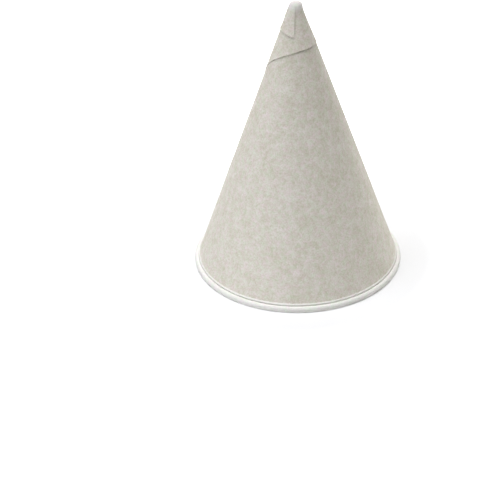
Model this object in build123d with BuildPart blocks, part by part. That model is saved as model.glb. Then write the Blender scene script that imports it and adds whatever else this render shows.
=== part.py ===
# Cone paper cup with a rolled rim, wound from one sheet of paper.
# Millimetres, +Z up. The cup stands on its rolled rim with its point up. The origin is the centre of
# the rim, on the plane that the cup stands on. The front is -Y, and angles round the cup are in
# degrees from the front, growing towards +X.
from build123d import *
from math import acos, asin, atan2, cos, degrees, hypot, pi, radians, sin, tan
import os

# Size of the cup
rim_diameter = 73.0           # over the rolled rim
cup_height = 97.3             # from the plane that it stands on to the top of the closed point
sheet = 0.2                   # thickness of the paper

# Rolled rim: the mouth of the cone is curled outwards, with its raw edge tucked inside the roll
roll_width = 1.4              # from the inside of the wall to the outside of the roll
roll_height = 1.87
roll_bend = 0.25              # inside radius of the two bends on which the cup stands
roll_shoulder = 0.75          # inside radius of the roll's upper outer bend
roll_gap = 0.1                # between the wall and the tucked edge
tuck_bend = 0.08              # inside radius of the bend behind which the edge is tucked
tuck_run = 0.4                # straight run of the tucked edge

# Ridge pressed in the wall just above the roll
ridge_height = 0.26
ridge_half = 0.36             # from its crest to its foot, along the wall
ridge_lift = 0.32             # from the top of the roll up to its crest
ridge_bend = 0.12             # inside radius of its bends

# Closed point
point_bend = 1.49             # inside radius of the bend from the wall to the top
point_flat = 0.1              # radius of the flat that is left in the middle of the top

# Second turn of the sheet, which lies on the first and leaves it along the hem
seam_angle = 142.0            # where the second turn climbs over the sheet's inner edge
climb = 1.6                   # width of the ramp on which it climbs
hem_reach = 18.65             # least distance from the cone's apex to the hem
hem_angle = 53.6              # where the hem comes nearest to the apex
end_gap = 8.0                 # angle by which the second turn stops short of meeting the seam again
ridge_gap = 0.4               # from the foot of the ridge up to the lower end of the second turn
step_reach = 14.0             # distance from the apex to the top of the step that shows inside

# Tongue: the end of the wound point, folded over the top and pressed down on the outside
tongue_reach = 13.8           # least distance from the apex to its lower edge
tongue_angle = -80.0          # where its lower edge comes nearest to the apex
tongue_half = 74.5            # from its middle to each side, in degrees
tongue_corner = 0.6           # radius of its lower corners
run_out = 0.1                 # how far past the sides their rounding runs out
tongue_turn = 0.4             # how far below the point's bend it covers the point all round

# The turns are glued: each upper one is set into the one below it, and the step of the sheet's inner
# edge, pressed into the turn above it, is less deep than the sheet is thick
glued = 0.6 * sheet
step_depth = 0.7 * sheet

# The faces that cut the upper turns to shape stand on the wall, from its inner face to above them
cut_from = -sheet
cut_to = 3 * sheet
cut_over = 2 * sheet          # how far they run past the lower end of the second turn
hem_steps = 24                # stretches in which the hem is followed
outline_steps = 40            # stretches in which the tongue's outline is followed

# Slope of the wall: its inner face runs from half the roll's height to the bend of the point,
# where the wall, the second turn and the tongue lie on each other
rim_radius = rim_diameter / 2
mouth_radius = rim_radius - roll_width
middle = roll_height / 2
inner_top = cup_height - 3 * sheet
bend_above = inner_top - point_bend - middle
bend_inside = mouth_radius - point_flat
slope = atan2(bend_inside, bend_above) - asin(point_bend / hypot(bend_inside, bend_above))
apex = middle + mouth_radius / tan(slope) + sheet / sin(slope)
point_bevel = point_bend * tan((pi / 2 - slope) / 2)
point_corner = point_flat + point_bevel
bend_end = point_corner * sin(slope) + (apex - inner_top) * cos(slope) + point_bevel


def slant_at(height):
    """Distance down the wall's outer face from the cone's apex to this height."""
    return (apex - height) / cos(slope)


def in_section(slant, lift):
    """Radius and height of a point this far down the wall and this far off its outer face."""
    return (slant * sin(slope) + lift * cos(slope), apex - slant * cos(slope) + lift * sin(slope))


def on_cup(slant, angle, lift):
    """The same point in space, at this angle round the cup."""
    radius, height = in_section(slant, lift)
    turn = radians(angle - 90)
    return Vector(radius * cos(turn), radius * sin(turn), height)


def half_plane(angle):
    """Plane of a section through the axis: x outwards, y up."""
    turn = radians(angle - 90)
    return Plane(origin=(0, 0, 0), x_dir=(cos(turn), sin(turn), 0), z_dir=(sin(turn), -cos(turn), 0))


def wall_plane(slant, angle, lift):
    """Plane square to the wall: x round the cup, y out of the wall, z down it."""
    turn = radians(angle - 90)
    down = on_cup(slant + 1, angle, lift) - on_cup(slant, angle, lift)
    return Plane(origin=on_cup(slant, angle, lift), x_dir=(-sin(turn), cos(turn), 0), z_dir=down)


def cut_face(route):
    """Face that stands on the wall along a route of distances from the apex and angles."""
    inside = [on_cup(slant, angle, cut_from) for slant, angle in route]
    outside = [on_cup(slant, angle, cut_to) for slant, angle in route]
    return Face.make_surface_from_curves(Edge.make_spline(inside), Edge.make_spline(outside))


def beside(points, bends, distance):
    """Corners and bend radii of the line that runs at this distance on the left of another."""
    corners = [complex(*point) for point in points]
    sides = [1j * (end - start) / abs(end - start) for start, end in zip(corners, corners[1:])]
    moved = [corners[0] + distance * sides[0]]
    radii = []
    for corner, before, after, bend in zip(corners[1:], sides, sides[1:], bends):
        turn = (after / before).imag
        moved.append(corner + distance * (before + after) / (1 + (after / before).real))
        radii.append(bend - distance if turn > 0 else bend + distance)
    moved.append(corners[-1] + distance * sides[-1])
    return [(point.real, point.imag) for point in moved], radii


def band(points, bends, near, far):
    """Outline between the two lines that run at these distances on the left of another."""
    edges = []
    for distance in (near, far):
        corners, radii = beside(points, bends, distance)
        edges.append(FilletPolyline(*corners, radius=radii))
    Line(edges[0] @ 0, edges[1] @ 0)
    Line(edges[0] @ 1, edges[1] @ 1)


def turn_section(angle, lift, slant):
    """Section of an upper turn, from the axis over the point and this far down the wall."""
    with BuildSketch(half_plane(angle)) as section:
        with BuildLine():
            points = ((0, inner_top), (point_corner, inner_top), in_section(slant, -sheet))
            band(points, [point_bend], sheet + lift - glued, sheet + lift + sheet)
        make_face()
    return section.sketch


def climb_section(plane, height):
    """Section of the wedge of this height where the sheet climbs over its own edge."""
    with BuildSketch(plane) as section:
        with BuildLine():
            Polyline((0, height), (-climb, -glued), (0, -glued), close=True)
        make_face()
    return section.sketch


# First turn with the point, the ridge and the roll: each corner of the sheet's inner face with the
# radius of its bend
ridge_slant = slant_at(roll_height + ridge_lift)
rim_corner = mouth_radius + middle * tan(slope)
tuck_corner = mouth_radius - middle * tan(slope) + (sheet + roll_gap) / cos(slope)
tuck_length = tuck_run + (sheet + tuck_bend) * tan((pi / 2 + slope) / 2)
tuck_end = (tuck_corner + tuck_length * sin(slope), roll_height - tuck_length * cos(slope))
first_line = [
    ((point_corner, inner_top), point_bend),
    (in_section(ridge_slant - ridge_half, -sheet), ridge_bend + sheet),
    (in_section(ridge_slant, ridge_height - sheet), ridge_bend),
    (in_section(ridge_slant + ridge_half, -sheet), ridge_bend + sheet),
    ((rim_corner, 0), roll_bend + sheet),
    ((rim_radius, 0), roll_bend + sheet),
    ((rim_radius, roll_height), roll_shoulder + sheet),
    ((tuck_corner, roll_height), tuck_bend + sheet),
]

with BuildPart() as first_turn:
    with BuildSketch(half_plane(seam_angle)):
        with BuildLine():
            corners = [(0, inner_top)] + [corner for corner, bend in first_line] + [tuck_end]
            band(corners, [bend for corner, bend in first_line], 0, sheet)
        make_face()
    revolve(axis=Axis.Z)

# Second turn: from the seam once more round the cup, above the hem, down to just above the ridge. The
# hem is straight in the flat sheet, where angles about the apex are smaller by the sine of the slope.
# The face that cuts it runs on past the turn's lower end, and a little into the gap at its other end
turn_end = ridge_slant - ridge_half - ridge_gap
turn_angle = 360 - end_gap
hem_nearest = hem_angle + 360
hem_low = hem_nearest - degrees(acos(hem_reach / (turn_end + cut_over))) / sin(slope)
hem_high = seam_angle + turn_angle + end_gap / 4
hem_angles = [hem_low + (hem_high - hem_low) * step / hem_steps for step in range(hem_steps + 1)]
hem = [(hem_reach / cos(radians(angle - hem_nearest) * sin(slope)), angle) for angle in hem_angles]

with BuildPart() as second_turn:
    add(turn_section(seam_angle, 0, turn_end))
    revolve(axis=Axis.Z, revolution_arc=turn_angle)
    split(bisect_by=cut_face(hem), keep=Keep.BOTH)
    add(second_turn.solids().sort_by(Axis.Z)[-1], mode=Mode.REPLACE)

# Tongue: its lower edge and rounded corners, drawn in the flat sheet with the apex at its origin and
# the tongue's middle along its x axis. The corners' rounding runs out just past the two sides
side_turn = radians(tongue_half) * sin(slope)
side_run = 2 * tongue_corner
side_top = tongue_reach - side_run
corner_y = tongue_reach * tan(side_turn) + run_out / cos(side_turn)
side_y = corner_y - side_run * tan(side_turn)
tongue_end = tongue_reach / cos(side_turn) + tongue_corner

with BuildLine(mode=Mode.PRIVATE):
    outline = FilletPolyline(
        (side_top, -side_y), (tongue_reach, -corner_y), (tongue_reach, corner_y), (side_top, side_y),
        radius=tongue_corner,
    )
tongue_edge = []
for step in range(outline_steps + 1):
    place = outline @ (step / outline_steps)
    angle = tongue_angle + degrees(atan2(place.Y, place.X)) / sin(slope)
    tongue_edge.append((hypot(place.X, place.Y), angle))

with BuildPart() as tongue:
    add(turn_section(tongue_angle - tongue_half, sheet, tongue_end))
    revolve(axis=Axis.Z, revolution_arc=2 * tongue_half)
    split(bisect_by=cut_face(tongue_edge), keep=Keep.BOTH)
    add(tongue.solids().sort_by(Axis.Z)[-1], mode=Mode.REPLACE)

# The cup: the turns joined as one sheet, with the step of the sheet's inner edge inside
climb_run = turn_end - step_reach
climb_top = wall_plane(step_reach, seam_angle, 0)
step_top = wall_plane(step_reach, seam_angle, -sheet)

with BuildPart() as cone_cup:
    add(first_turn.part)
    add(second_turn.part)
    add(tongue.part)
    add(turn_section(tongue_angle, sheet, bend_end + tongue_turn))
    revolve(axis=Axis.Z)
    add(climb_section(climb_top, sheet))
    extrude(amount=climb_run, dir=climb_top.z_dir)
    add(climb_section(step_top, step_depth))
    extrude(amount=climb_run, dir=step_top.z_dir, mode=Mode.SUBTRACT)

cone_cup.part.label = "cone_cup"
os.makedirs("parts", exist_ok=True)
export_step(cone_cup.part, "parts/cone_cup.step")
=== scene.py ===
# Looks of a cone paper cup that is wound from one sheet and stands on its rolled rim.
# Sizes are in millimetres, and turned to metres where a mesh, lamp or camera is placed. Angles round
# the cup are in degrees from the front, growing to the right. Distances from the apex are measured down
# the sheet, and the apex is where the wall would end in a sharp point. Where a value is a pair of limits,
# what it names begins at the first and is full at the second.
import bmesh
import bpy
from cmath import exp, phase
from math import asin, atan2, ceil, copysign, cos, degrees, hypot, pi, radians, sin, tan
from mathutils import Matrix, Vector, noise


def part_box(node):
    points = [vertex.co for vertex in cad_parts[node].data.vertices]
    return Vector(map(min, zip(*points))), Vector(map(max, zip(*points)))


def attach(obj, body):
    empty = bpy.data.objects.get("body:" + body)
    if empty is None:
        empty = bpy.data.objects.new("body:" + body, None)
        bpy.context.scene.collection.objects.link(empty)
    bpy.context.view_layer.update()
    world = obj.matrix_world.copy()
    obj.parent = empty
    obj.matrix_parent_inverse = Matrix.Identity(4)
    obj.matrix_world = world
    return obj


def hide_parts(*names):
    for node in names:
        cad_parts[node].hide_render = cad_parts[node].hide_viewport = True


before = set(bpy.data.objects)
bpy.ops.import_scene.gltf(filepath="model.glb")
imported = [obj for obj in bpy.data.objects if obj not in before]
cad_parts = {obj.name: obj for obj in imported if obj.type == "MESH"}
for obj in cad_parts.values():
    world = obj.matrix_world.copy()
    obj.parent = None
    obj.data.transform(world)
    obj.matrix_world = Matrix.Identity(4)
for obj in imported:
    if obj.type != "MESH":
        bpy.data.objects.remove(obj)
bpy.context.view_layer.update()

MM = 0.001
NODE = "cone_cup"
node_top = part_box(NODE)[1]

# The sheet and its folds, as in the part
rim_radius = round(node_top.x / MM, 3)
cup_height = round(node_top.z / MM, 3)
sheet = 0.2                   # thickness of the paper
roll_width = 1.4              # from the inside of the wall to the outside of the rolled rim
roll_height = 1.87
roll_bend = 0.25              # inside radius of the two bends on which the cup stands
roll_shoulder = 0.75          # inside radius of the roll's upper outer bend
tuck_bend = 0.08              # inside radius of the bend behind which the edge is tucked
tuck_run = 0.4                # straight run of the tucked edge
ridge_height = 0.26           # of the ridge pressed in the wall above the roll
ridge_half = 0.36             # from its crest to its foot, along the wall
ridge_lift = 0.32             # from the top of the roll up to its crest
ridge_bend = 0.12             # inside radius of its bends
point_bend = 1.49             # inside radius of the bend from the wall to the closed top
point_flat = 0.1              # radius of the flat in the middle of the top
seam_angle = 142.0            # where the second turn climbs over the sheet's inner edge
climb = 1.6                   # width of the ramp on which it climbs
hem_reach = 18.65             # least distance from the apex to the hem
hem_angle = 53.6              # where the hem comes nearest to the apex
end_gap = 8.0                 # angle by which the second turn stops short of meeting the seam again
tongue_reach = 13.8           # least distance from the apex to the tongue's lower edge
tongue_angle = -80.0          # where its lower edge comes nearest to the apex
tongue_half = 74.5            # from its middle to each side, in degrees
tongue_corner = 0.6           # radius of its lower corners

# How the paper lies
roll_gap = 0.04               # between the wall and the tucked edge, where the part leaves 0.1
pressed = 0.16                # what each turn adds: the turns are pressed into each other
climb_fade = 4.0              # length above the roll in which the ramp ends, since the roll closes on itself
climb_delay = 6.0             # degrees past the seam in which the second turn rises there instead
widest_ramp = 60.0            # degrees that the ramp takes at most, near the point
least_radius = 0.1            # at which its width is still turned to degrees

left_gap = 0.08               # how far the upper turns stand off the first at the left
left_gap_round = (80, 30)     # degrees from the left
left_gap_start = (4, 9)       # distances from the apex at which the gap opens
left_gap_stop = (15, 21)      # and at which it closes
gap_delay = 30.0              # degrees past the seam in which it opens

hem_lift = 0.12               # how far the hem springs off the turn below it
hem_loose = 3.0               # how far in from the hem the paper is lifted with it
hem_curl = 0.04               # sharper lift of the cut edge itself
curl_width = 0.7              # how far in from the hem it reaches
hem_waver = 0.5               # share by which the spring varies along the hem
waver_turn = 25.0             # degrees from one change to the next
waver_row = 3.1               # row of the noise that gives the changes
right_calm = 0.65             # share of the spring that is lost towards the right
right_calm_round = (-40, 30)  # degrees from where the hem comes nearest to the apex
back_spring = 0.2             # share of the spring that is left at the back
back_spring_round = (-145, -110)    # degrees from there at which it grows to the whole
hem_grip = 14.0               # length above the roll in which the roll holds the hem down

tongue_lift = 0.14            # how far the tongue's lower edge springs up
side_lift = 0.16              # and its sides
tongue_loose = 1.5            # how far in from its edges the paper is lifted with them
tongue_free = 2.0             # below the cap, where its edges come free
point_loft = 0.2              # how far the fold over the point stands off more
loft_rise = 2.4               # distance from the middle of the top in which it rises
loft_fall = 5.0               # distance below the cap in which it ends
cap_reach = 7.6               # distance from the apex at which the cap ends beside the tongue
cap_sink = 3.0                # length in which it sinks into the turn below
cap_under = 0.03              # how far it goes under the face of that turn
side_sink = (0.05, -0.3)      # distances in from the tongue's sides at which the cap sinks
side_band = 0.5               # strip along the sides with faces of its own

fullness = 0.22               # how far the wall bulges, most in its upper half
full_up = (8, 55)             # heights between which the bulge grows, from the roll up
full_down = (92, 82)          # and from the point down
cockle = 0.05                 # height of the wall's slow waves
cockle_size = 14.0            # from wave to wave
cockle_out = (0, 12)          # distances from the axis between which they grow
cockle_up = (0, 6)            # and heights

# Fineness of the meshes
turn_step = 2.5               # degrees round the cup from one column of faces to the next
seam_run = 7.5                # degrees before the seam that are divided more finely
seam_steps = 9                # columns of faces in them
run_step = 2.0                # longest face down the wall
bend_step = 15.0              # degrees of a bend in one face
corner_steps = 7              # faces in each rounded corner of the tongue
same_place = 0.0001           # points nearer than this are one
same_reach = 0.001            # and so are distances from the apex
sliver = 0.002                # edges shorter than this are dropped
crisp = 38.0                  # degrees past which an edge is kept sharp

# The paper: clouds where its fibres settled thicker and thinner. Single fibres, about 0.03 mm thick, are
# too fine to show, so the finest clouds stand for them, drawn as coarse as they need to be to show
formation_size = 4.0          # from cloud to cloud
flock_size = 1.4
flock_weight = 1.4            # against the widest clouds
fibre_size = 0.5
fibre_weight = 2.0
cloud_range = (1.55, 2.85)    # their sums at the darkest and at the lightest places
paper_dark = "#dad5c1"
paper_light = "#f7f1eb"
hue_size = 1.6                # of clouds that are a little green and a little pink
hue_range = (0.3, 0.7)        # clouds that are wholly green and wholly pink
paper_green = "#f8fff7"
paper_pink = "#fff9fd"
painted_highlight_white = "#fbfbfa"     # white of the painted highlight on the roll and the point
roll_highlight_heights = (2.75, 2.45)     # heights between which the painted highlight grows towards the roll
roll_highlight_share = 0.65
point_highlight_heights = (94.2, 95.4)    # and towards the point
point_highlight_share = 0.55
grain_depth = 0.05

# Studio, in metres and watts
floor_reach = 4.0             # from the cup to the floor's edges
floor_white = "#ececec"
floor_glow = 0.12             # how brightly the floor glows at the cup
shadow_near = 0.045           # distance from the cup's axis from which the glow grows
shadow_far = 0.11             # and from which it is plain white
lamp_aim = 0.04               # height at which the lamps are aimed
lamp_white = "#ffffff"
window_white = "#f4f6ff"      # of the lamps at the left and front, which shine like a window
fill_white = "#fffaf2"        # of the faint light from all round
fill_strength = 0.02


def stretches_of(corners, bends):
    """Straight and curved stretches of a line through rounded corners: where each starts, its way, its
    length and its curvature, which is positive to the left."""
    found = []
    here = corners[0]
    for before, corner, after, bend in zip(corners, corners[1:], corners[2:], bends):
        way = (corner - before) / abs(corner - before)
        turn = phase((after - corner) / way)
        trim = bend * tan(abs(turn) / 2)
        found.append((here, way, abs(corner - here) - trim, 0.0))
        found.append((corner - trim * way, way, bend * abs(turn), copysign(1 / bend, turn)))
        here = corner + trim * (after - corner) / abs(after - corner)
    way = (corners[-1] - here) / abs(corners[-1] - here)
    found.append((here, way, abs(corners[-1] - here), 0.0))
    return found


# Slope of the wall, from half the roll's height to the bend of the point
mouth_radius = rim_radius - roll_width
middle = roll_height / 2
inner_top = cup_height - 3 * sheet
bend_above = inner_top - point_bend - middle
bend_inside = mouth_radius - point_flat
slope = atan2(bend_inside, bend_above) - asin(point_bend / hypot(bend_inside, bend_above))
apex = middle + mouth_radius / tan(slope) + sheet / sin(slope)
point_corner = point_flat + point_bend * tan((pi / 2 - slope) / 2)


def on_wall(slant, lift):
    """Point of the section this far down the wall's outer face and this far off it."""
    radius = slant * sin(slope) + lift * cos(slope)
    return complex(radius, apex - slant * cos(slope) + lift * sin(slope))


# Section of the sheet's inner face, from the middle of the top over the wall to the tucked edge
ridge_slant = (apex - roll_height - ridge_lift) / cos(slope)
tuck_corner = mouth_radius - middle * tan(slope) + (sheet + roll_gap) / cos(slope)
tuck_length = tuck_run + (sheet + tuck_bend) * tan((pi / 2 + slope) / 2)
section_corners = [
    complex(0, inner_top),
    complex(point_corner, inner_top),
    on_wall(ridge_slant - ridge_half, -sheet),
    on_wall(ridge_slant, ridge_height - sheet),
    on_wall(ridge_slant + ridge_half, -sheet),
    complex(mouth_radius + middle * tan(slope), 0),
    complex(rim_radius, 0),
    complex(rim_radius, roll_height),
    complex(tuck_corner, roll_height),
    complex(tuck_corner + tuck_length * sin(slope), roll_height - tuck_length * cos(slope)),
]
section_bends = [
    point_bend, ridge_bend + sheet, ridge_bend, ridge_bend + sheet,
    roll_bend + sheet, roll_bend + sheet, roll_shoulder + sheet, tuck_bend + sheet,
]
section = stretches_of(section_corners, section_bends)

# Distances from the apex: to the middle of the top, where the section starts, to the foot of the ridge,
# where the second turn goes behind the roll, and to the end of the tucked edge
top_stretches = 2
ridge_stretches = 8
lengths = [length for here, way, length, curve in section]
pole_slant = point_corner * sin(slope) + (apex - inner_top) * cos(slope)
pole_slant += point_bend * tan((pi / 2 - slope) / 2) - sum(lengths[:top_stretches])
turn_end = pole_slant + sum(lengths[:ridge_stretches])
sheet_end = pole_slant + sum(lengths)


def in_section(slant, lift):
    """Radius and height of a point this far from the apex, this far off the sheet's inner face."""
    left = slant - pole_slant
    for here, way, length, curve in section:
        if left <= length:
            break
        left -= length
    turned = way * exp(1j * curve * left)
    along = (turned - way) / (1j * curve) if curve else way * left
    return here + along + 1j * turned * lift


def smooth(start, end, value):
    """0 before the start, 1 past the end and a smooth rise between them."""
    share = min(1.0, max(0.0, (value - start) / (end - start)))
    return share * share * (3 - 2 * share)


def fall_off(inset, width):
    """1 at an edge, falling to 0 this far in from it."""
    return max(0.0, 1 - inset / width) ** 2


def flat_turn(angle):
    """Angle about the apex in the flat sheet, in radians, for one in degrees round the cup."""
    return radians(angle) * sin(slope)


def flat_sheet(middle_angle, start_angle, spins):
    """Flat sheet with the apex at its origin and the middle angle along x. A line down the section is
    spun through each of the spins: an angle, a number of steps and how far down the line it takes."""
    bm = bmesh.new()
    ends = [pole_slant + sum(lengths[:count]) for count in range(len(lengths) + 1)]
    dots = [bm.verts.new((slant, 0, 0)) for slant in ends]
    edges = [bm.edges.new(pair) for pair in zip(dots, dots[1:])]
    for edge, (here, way, length, curve) in zip(edges, section):
        faces = ceil(abs(curve) * length / radians(bend_step) if curve else length / run_step)
        if faces > 1:
            bmesh.ops.bisect_edges(bm, edges=[edge], cuts=faces - 1)
    start = Matrix.Rotation(flat_turn(start_angle - middle_angle), 3, "Z")
    bmesh.ops.rotate(bm, verts=bm.verts, cent=(0, 0, 0), matrix=start)
    line = bm.edges[:]
    for angle, steps, reach in spins:
        line = [
            edge for edge in line
            if max(vert.co.length for vert in edge.verts) < reach + same_reach
        ]
        spun = bmesh.ops.spin(
            bm, geom=line, cent=(0, 0, 0), axis=(0, 0, 1), angle=flat_turn(angle), steps=steps,
        )
        line = [item for item in spun["geom_last"] if isinstance(item, bmesh.types.BMEdge)]
    bmesh.ops.delete(bm, geom=[edge for edge in bm.edges if not edge.link_faces], context="EDGES")
    bmesh.ops.reverse_faces(bm, faces=bm.faces[:])
    return bm


def cut(bm, point, normal, clear=True, beyond=0.0):
    """Cuts the flat sheet along a line and drops what lies past it, or keeps it where clear is false.
    Only faces at least this far from the apex are cut."""
    faces = [face for face in bm.faces if face.calc_center_median().length > beyond]
    edges = {edge for face in faces for edge in face.edges}
    verts = {vert for face in faces for vert in face.verts}
    bmesh.ops.bisect_plane(
        bm, geom=faces + list(edges) + list(verts), dist=same_place, plane_co=point, plane_no=normal,
        clear_outer=clear,
    )


def wound(bm, middle_angle, lie):
    """Winds the flat sheet on the cup and gives it its thickness. lie gives how far a point of it lies
    off the wall's inner face."""
    for vert in bm.verts:
        slant = vert.co.length
        turned = atan2(vert.co.y, vert.co.x)
        if turned > pi / 2:
            turned -= 2 * pi
        angle = middle_angle + degrees(turned) / sin(slope)
        place = in_section(slant, lie(vert.co, slant, angle))
        turn = radians(angle - 90)
        spot = Vector((place.real * cos(turn), place.real * sin(turn), place.imag))
        wave = cockle * smooth(*cockle_out, place.real) * smooth(*cockle_up, place.imag)
        wave *= noise.noise(spot / cockle_size)
        wave += fullness * smooth(*full_up, place.imag) * smooth(*full_down, place.imag)
        spot.x += wave * cos(turn)
        spot.y += wave * sin(turn)
        vert.co = spot
    bmesh.ops.remove_doubles(bm, verts=bm.verts, dist=same_place)
    bmesh.ops.dissolve_degenerate(bm, edges=bm.edges, dist=sliver)
    bmesh.ops.solidify(bm, geom=bm.faces[:], thickness=sheet)
    return bm


def stand_off(slant, angle):
    """How far the turns above the first stand off it at the left side."""
    from_left = abs((angle - 90) % 360 - 180)
    gap = left_gap * smooth(*left_gap_round, from_left)
    return gap * smooth(*left_gap_start, slant) * (1 - smooth(*left_gap_stop, slant))


def cone_sheet():
    """The sheet of the cup, wound twice: the whole cone with its point, ridge and roll, and on it the
    second turn, which ends along a straight hem."""
    hem_middle = hem_angle + 720
    second = seam_angle + 360
    blank = flat_sheet(hem_middle, seam_angle, [
        (360 - seam_run, round((360 - seam_run) / turn_step), sheet_end),
        (seam_run, seam_steps, sheet_end),
        (360 - end_gap, round((360 - end_gap) / turn_step), turn_end),
    ])
    cut(blank, (hem_reach, 0, 0), (1, 0, 0))
    for inset in (curl_width / 2, curl_width, hem_loose / 2, hem_loose):
        cut(blank, (hem_reach - inset, 0, 0), (1, 0, 0), clear=False)

    def spring_at(slant, angle):
        """Share of its lift to which the hem springs up here."""
        past = angle - hem_middle
        spring = 1 + hem_waver * noise.noise(Vector((angle / waver_turn, waver_row, 0)))
        spring *= 1 - right_calm * smooth(*right_calm_round, past)
        spring *= back_spring + (1 - back_spring) * smooth(*back_spring_round, past)
        return spring * (1 - smooth(turn_end - hem_grip, turn_end, slant))

    def lie(flat, slant, angle):
        ramp = min(widest_ramp, degrees(climb / max(slant * sin(slope), least_radius)))
        held = smooth(turn_end - climb_fade, turn_end, slant)
        held *= 1 - smooth(second, second + climb_delay, angle)
        climbed = pressed * smooth(second - ramp, second, angle) * (1 - held)
        inset = hem_reach - flat.x
        lifted = hem_lift * fall_off(inset, hem_loose) + hem_curl * fall_off(inset, curl_width)
        gap = stand_off(slant, angle) * smooth(second, second + gap_delay, angle)
        return climbed + lifted * spring_at(slant, angle) + gap

    return wound(blank, hem_middle, lie)


def tongue():
    """The end of the wound point: it is folded over the top as a cap, and pressed down on one side as a
    tongue with rounded corners. Elsewhere the cap sinks into the turn below and ends there."""
    side_turn = flat_turn(tongue_half)
    blank = flat_sheet(tongue_angle, tongue_angle - 180, [
        (360, round(360 / turn_step), tongue_reach / cos(side_turn) + run_step),
    ])
    cut(blank, (tongue_reach, 0, 0), (1, 0, 0))
    for side in (-1, 1):
        across = Vector((-sin(side_turn), side * cos(side_turn), 0))
        cut(blank, (0, 0, 0), across, clear=False)
        cut(blank, -side_band * across, across, clear=False)
    outside = []
    for face in blank.faces:
        centre = face.calc_center_median()
        if abs(atan2(centre.y, centre.x)) > side_turn and centre.length > cap_reach:
            outside.append(face)
    bmesh.ops.delete(blank, geom=outside, context="FACES")
    centre_x = tongue_reach - tongue_corner
    centre_y = centre_x * tan(side_turn) - tongue_corner / cos(side_turn)
    for side in (-1, 1):
        for step in range(1, corner_steps):
            way = (pi / 2 + side_turn) * step / corner_steps
            normal = Vector((cos(way), side * sin(way), 0))
            touch = Vector((centre_x, side * centre_y, 0)) + tongue_corner * normal
            cut(blank, touch, normal, beyond=centre_x - tongue_corner)

    def lie(flat, slant, angle):
        from_side = (side_turn - abs(atan2(flat.y, flat.x))) * slant
        lifted = max(
            tongue_lift * fall_off(tongue_reach - flat.x, tongue_loose),
            side_lift * fall_off(max(from_side, 0), tongue_loose),
        )
        lifted *= smooth(cap_reach, cap_reach + tongue_free, slant)
        sunk = smooth(cap_reach - cap_sink, cap_reach, slant) * smooth(*side_sink, from_side)
        loft = smooth(pole_slant, pole_slant + loft_rise, slant)
        loft *= 1 - smooth(cap_reach, cap_reach + loft_fall, slant)
        gap = stand_off(slant, angle) + point_loft * loft * (1 - sunk)
        return 2 * pressed + gap + lifted - (pressed + cap_under) * sunk

    return wound(blank, tongue_angle, lie)


def finished(name, parts, material):
    """One object of several closed meshes, in metres, with its cut edges kept crisp."""
    mesh = bpy.data.meshes.new(name)
    whole = bmesh.new()
    for part in parts:
        single = bpy.data.meshes.new("part")
        part.to_mesh(single)
        part.free()
        whole.from_mesh(single)
        bpy.data.meshes.remove(single)
    bmesh.ops.scale(whole, verts=whole.verts, vec=(MM, MM, MM))
    for face in whole.faces:
        face.smooth = True
    whole.to_mesh(mesh)
    whole.free()
    mesh.set_sharp_from_angle(angle=radians(crisp))
    mesh.materials.append(material)
    piece = bpy.data.objects.new(name, mesh)
    bpy.context.scene.collection.objects.link(piece)
    return piece


def linear(code):
    """A colour written as sRGB hex, as the linear colour that a shader takes."""
    parts = [int(code[place:place + 2], 16) / 255 for place in (1, 3, 5)]
    parts = [part / 12.92 if part <= 0.04045 else ((part + 0.055) / 1.055) ** 2.4 for part in parts]
    return parts + [1.0]


def add(tree, kind, settings=None, **links):
    """Adds a node with its settings, and sets or links its sockets by name, or by number as in in0."""
    node = tree.nodes.new(kind)
    for key, value in (settings or {}).items():
        setattr(node, key, value)
    for key, value in links.items():
        numbered = key.startswith("in") and key[2:].isdigit()
        socket = node.inputs[int(key[2:]) if numbered else key.replace("_", " ")]
        if isinstance(value, bpy.types.NodeSocket):
            tree.links.new(value, socket)
        else:
            socket.default_value = value
    return node


def new_material(name):
    """An empty material and its nodes."""
    material = bpy.data.materials.new(name)
    material.use_nodes = True
    material.node_tree.nodes.clear()
    return material, material.node_tree


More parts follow.
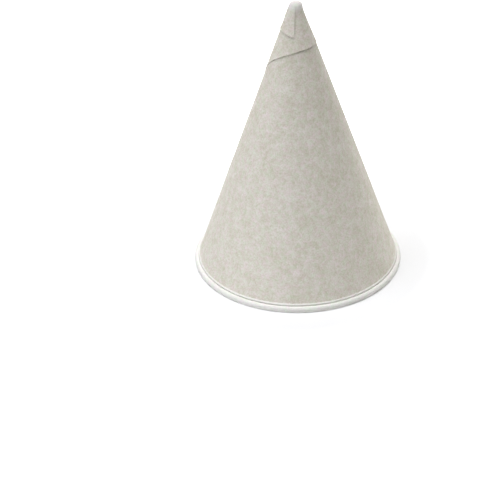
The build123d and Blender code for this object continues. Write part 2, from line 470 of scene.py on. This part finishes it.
def bleached_paper():
    """Uncoated bleached paper, machine made: matt, a warm white, with the clouds of its fibres. Towards the
    roll of the rim and the point it turns whiter and less warm, a painted highlight for the light they catch
    from above."""
    material, tree = new_material("bleached_paper")
    place = add(tree, "ShaderNodeTexCoord").outputs["Object"]

    def clouds(size, detail, shift):
        """Clouds this many millimetres wide, moved so that they differ from the others."""
        moved = add(tree, "ShaderNodeMapping", Vector=place, Location=(shift, shift * 2, shift * 3))
        return add(
            tree, "ShaderNodeTexNoise", Vector=moved.outputs["Vector"], Scale=1 / (size * MM),
            Detail=detail, Roughness=0.6,
        ).outputs["Fac"]

    formation = clouds(formation_size, 1.0, 0.0)
    flock = clouds(flock_size, 1.0, 0.1)
    fibre = clouds(fibre_size, 1.0, 0.2)

    # The clouds added up
    shade = add(
        tree, "ShaderNodeMath", {"operation": "MULTIPLY_ADD"}, in0=flock, in1=flock_weight,
        in2=formation,
    ).outputs["Value"]
    shade = add(
        tree, "ShaderNodeMath", {"operation": "MULTIPLY_ADD"}, in0=fibre, in1=fibre_weight, in2=shade,
    ).outputs["Value"]
    shade = add(
        tree, "ShaderNodeMapRange", Value=shade, From_Min=cloud_range[0], From_Max=cloud_range[1],
        To_Min=0.0, To_Max=1.0,
    ).outputs["Result"]
    body = add(
        tree, "ShaderNodeMix", {"data_type": "RGBA"}, in0=shade, in6=linear(paper_dark),
        in7=linear(paper_light),
    ).outputs[2]

    # Painted highlight: whiter and less warm towards the roll and the point, for the light they catch from
    # above
    level = add(tree, "ShaderNodeSeparateXYZ", Vector=place).outputs["Z"]
    rolled = add(
        tree, "ShaderNodeMapRange", Value=level, From_Min=roll_highlight_heights[0] * MM,
        From_Max=roll_highlight_heights[1] * MM, To_Min=0.0, To_Max=roll_highlight_share,
    ).outputs["Result"]
    closed = add(
        tree, "ShaderNodeMapRange", Value=level, From_Min=point_highlight_heights[0] * MM,
        From_Max=point_highlight_heights[1] * MM, To_Min=0.0, To_Max=point_highlight_share,
    ).outputs["Result"]
    painted_highlight_mask = add(tree, "ShaderNodeMath", {"operation": "ADD"}, in0=rolled, in1=closed).outputs["Value"]
    body = add(
        tree, "ShaderNodeMix", {"data_type": "RGBA"}, in0=painted_highlight_mask, in6=body, in7=linear(painted_highlight_white),
    ).outputs[2]

    # A little green and a little pink
    hue = add(
        tree, "ShaderNodeMapRange", Value=clouds(hue_size, 2.0, 0.3), From_Min=hue_range[0],
        From_Max=hue_range[1], To_Min=0.0, To_Max=1.0,
    ).outputs["Result"]
    tint = add(
        tree, "ShaderNodeMix", {"data_type": "RGBA"}, in0=hue, in6=linear(paper_green),
        in7=linear(paper_pink),
    ).outputs[2]
    tinted = add(
        tree, "ShaderNodeMix", {"data_type": "RGBA", "blend_type": "MULTIPLY"}, in0=1.0, in6=body,
        in7=tint,
    ).outputs[2]

    # The finer clouds raise the grain too
    grain = add(
        tree, "ShaderNodeMath", {"operation": "MULTIPLY_ADD"}, in0=flock, in1=1.0, in2=fibre,
    ).outputs["Value"]
    bump = add(tree, "ShaderNodeBump", Strength=0.35, Distance=grain_depth * MM, Height=grain)
    shader = add(
        tree, "ShaderNodeBsdfPrincipled", Base_Color=tinted, Roughness=0.85, IOR=1.45,
        Normal=bump.outputs["Normal"],
    )
    add(tree, "ShaderNodeOutputMaterial", Surface=shader.outputs["BSDF"])
    return material


def background_rays(tree):
    """1 for the rays that show the background: the camera's own, and those by gloss or through glass."""
    path = add(tree, "ShaderNodeLightPath").outputs
    seen = add(
        tree, "ShaderNodeMath", {"operation": "ADD"}, in0=path["Is Camera Ray"], in1=path["Is Glossy Ray"],
    ).outputs["Value"]
    return add(
        tree, "ShaderNodeMath", {"operation": "ADD", "use_clamp": True}, in0=seen,
        in1=path["Is Transmission Ray"],
    ).outputs["Value"]


def studio_paper():
    """Matt white paper, rolled smooth at the mill and laid under the cup. For the rays that show the
    background it also glows, more with the distance from the cup, and is plain white outside its
    shadow."""
    material, tree = new_material("studio_paper")
    place = add(tree, "ShaderNodeTexCoord").outputs["Object"]
    away = add(tree, "ShaderNodeVectorMath", {"operation": "LENGTH"}, in0=place).outputs["Value"]
    strength = add(
        tree, "ShaderNodeMapRange", Value=away, From_Min=shadow_near, From_Max=shadow_far,
        To_Min=floor_glow, To_Max=1.0,
    ).outputs["Result"]
    lit = add(tree, "ShaderNodeBsdfDiffuse", Color=linear(floor_white))
    glow = add(tree, "ShaderNodeEmission", Color=(1.0, 1.0, 1.0, 1.0), Strength=strength)
    dark = add(tree, "ShaderNodeEmission", Color=(0.0, 0.0, 0.0, 1.0), Strength=0.0)
    seen = add(
        tree, "ShaderNodeMixShader", in0=background_rays(tree), in1=dark.outputs["Emission"],
        in2=glow.outputs["Emission"],
    )
    both = add(tree, "ShaderNodeAddShader", in0=lit.outputs["BSDF"], in1=seen.outputs["Shader"])
    add(tree, "ShaderNodeOutputMaterial", Surface=both.outputs["Shader"])
    return material


def soft_lamp(name, colour, around, up, away, size, power):
    """A square soft lamp, this far away from the cup and these degrees round it and up."""
    turn = radians(around - 90)
    rise = radians(up)
    way = Vector((cos(rise) * cos(turn), cos(rise) * sin(turn), sin(rise)))
    light = bpy.data.lights.new(name, "AREA")
    light.size = size
    light.energy = power
    light.color = linear(colour)[:3]
    lamp = bpy.data.objects.new(name, light)
    lamp.location = Vector((0, 0, lamp_aim)) + away * way
    lamp.rotation_euler = way.to_track_quat("Z", "Y").to_euler()
    lamp.visible_camera = False
    bpy.context.scene.collection.objects.link(lamp)


# The cup
paper = bleached_paper()
cup = finished("paper_cup", [cone_sheet(), tongue()], paper)
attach(cup, "root")
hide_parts(NODE)

# Studio: a pale floor, a large lamp overhead, a weaker one at the left with a faint low one below it,
# two low ones behind the cup, and three small cards close by that throw a little light on its foot
floor_mesh = bpy.data.meshes.new("floor")
ground = bmesh.new()
bmesh.ops.create_grid(ground, x_segments=1, y_segments=1, size=floor_reach)
ground.to_mesh(floor_mesh)
ground.free()
floor_mesh.materials.append(studio_paper())
floor = bpy.data.objects.new("floor", floor_mesh)
bpy.context.scene.collection.objects.link(floor)

for name, colour, around, up, away, size, power in (
    ("overhead_lamp", lamp_white, 0, 90, 1.2, 0.7, 10.4),
    ("left_lamp", window_white, -90, 65, 1.2, 0.5, 4.9),
    ("low_left_lamp", window_white, -75, 10, 1.2, 0.5, 0.7),
    ("back_left_lamp", lamp_white, 195, 10, 1.2, 0.5, 3.4),
    ("back_right_lamp", lamp_white, 150, 10, 1.2, 0.5, 3.8),
    ("left_card", window_white, -75, -10, 0.13, 0.03, 0.004),
    ("front_card", window_white, -20, -10, 0.13, 0.03, 0.016),
    ("right_card", lamp_white, 75, -10, 0.13, 0.03, 0.011),
):
    soft_lamp(name, colour, around, up, away, size, power)

world = bpy.data.worlds.new("studio")
world.use_nodes = True
bpy.context.scene.world = world
sky = world.node_tree
sky.nodes.clear()
fill = add(sky, "ShaderNodeBackground", Color=linear(fill_white), Strength=fill_strength)
white = add(sky, "ShaderNodeBackground", Color=(1.0, 1.0, 1.0, 1.0), Strength=1.0)
both = add(
    sky, "ShaderNodeMixShader", in0=background_rays(sky), in1=fill.outputs["Background"],
    in2=white.outputs["Background"],
)
add(sky, "ShaderNodeOutputWorld", Surface=both.outputs["Shader"])

# Camera, where the photograph was taken from
camera_place = (4.4, -452.25, 287.42)
camera_aim = (-16.94, 0.0, 2.15)
camera_roll = 1.55            # degrees that the camera leans to its right
lens = bpy.data.cameras.new("camera")
lens.lens = 108.0
lens.sensor_width = 36.0
lens.clip_start = 0.01
lens.clip_end = 20.0
camera = bpy.data.objects.new("camera", lens)
towards = Vector(camera_aim) - Vector(camera_place)
upright = towards.to_track_quat("-Z", "Y").to_matrix().to_4x4()
leaning = upright @ Matrix.Rotation(radians(-camera_roll), 4, "Z")
camera.matrix_world = Matrix.Translation(Vector(camera_place) * MM) @ leaning
bpy.context.scene.collection.objects.link(camera)
bpy.context.scene.camera = camera
bpy.context.scene.view_settings.view_transform = "Standard"
